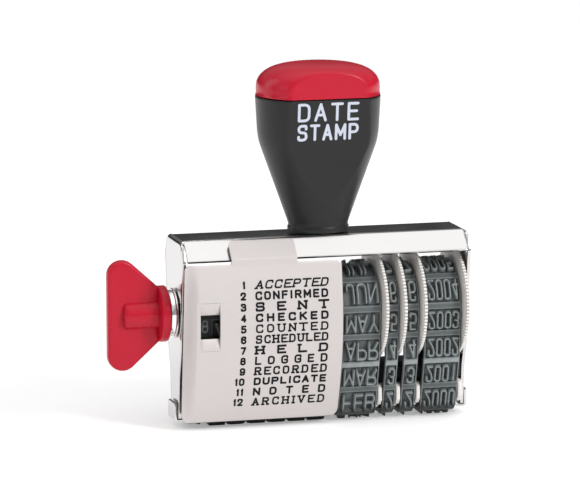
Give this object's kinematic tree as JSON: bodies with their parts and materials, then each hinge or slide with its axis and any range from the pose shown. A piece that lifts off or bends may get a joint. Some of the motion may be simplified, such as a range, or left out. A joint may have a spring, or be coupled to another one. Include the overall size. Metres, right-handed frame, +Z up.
{
  "type": "rotary date stamp",
  "caption": "Self-standing line date stamp: bent metal frame with a moulded handle, a wing knob that dials phrases on a wide rubber band, and knurled wheels for month, day and year bands.",
  "frame": {"origin": "middle of the printing plane, under the axis of the handle, on the flat face of the phrase type", "axes": "+Z up along the handle, +X across the stamp away from the dial knob, -Y out of the front cover"},
  "size_m": [0.0973, 0.0294, 0.0951],
  "materials": {
    "nickel": "polished nickel plate on bent steel sheet",
    "cover_nickel": "satin nickel plate with a printed black list",
    "collar_chrome": "polished",
    "steel": "bright zinc",
    "black_plastic": "moulded, satin gloss",
    "red_plastic": "moulded, glossy",
    "white_plastic": "moulded, satin",
    "grey_rubber": "moulded, matt",
    "black_rubber": "moulded, matt"
  },
  "bodies": {
    "stamp_frame": {"frame": "nickel", "front_cover": "cover_nickel", "handle": "black_plastic", "handle_cap": "red_plastic", "handle_screw": "steel", "lock_washer": "steel", "wheel_axle": "steel", "dial_spacer": "steel", "knob_collar": "collar_chrome", "phrase_band": "black_rubber", "month_band": "grey_rubber", "day_tens_band": "grey_rubber", "day_ones_band": "grey_rubber", "year_band": "grey_rubber", "bridge_strap": "nickel", "band_former": "black_plastic", "type_bridge": "white_plastic"},
    "phrase_dial": {"phrase_knob": "red_plastic", "phrase_drum": "black_plastic"},
    "month_dial": {"month_wheel": "white_plastic"},
    "day_tens_dial": {"day_tens_wheel": "white_plastic"},
    "day_ones_dial": {"day_ones_wheel": "white_plastic"},
    "year_dial": {"year_wheel": "white_plastic"}
  },
  "joints": [
    {"name": "phrase_turn", "type": "hinge", "parent": "stamp_frame", "child": "phrase_dial", "pos_m": [-0.05, 0, 0.0302], "axis": [1, 0, 0], "continuous": true},
    {"name": "month_turn", "type": "hinge", "parent": "stamp_frame", "child": "month_dial", "pos_m": [0.009, 0, 0.0302], "axis": [1, 0, 0], "continuous": true},
    {"name": "day_tens_turn", "type": "hinge", "parent": "stamp_frame", "child": "day_tens_dial", "pos_m": [0.018, 0, 0.0302], "axis": [1, 0, 0], "continuous": true},
    {"name": "day_ones_turn", "type": "hinge", "parent": "stamp_frame", "child": "day_ones_dial", "pos_m": [0.0235, 0, 0.0302], "axis": [1, 0, 0], "continuous": true},
    {"name": "year_turn", "type": "hinge", "parent": "stamp_frame", "child": "year_dial", "pos_m": [0.032, 0, 0.0302], "axis": [1, 0, 0], "continuous": true}
  ]
}
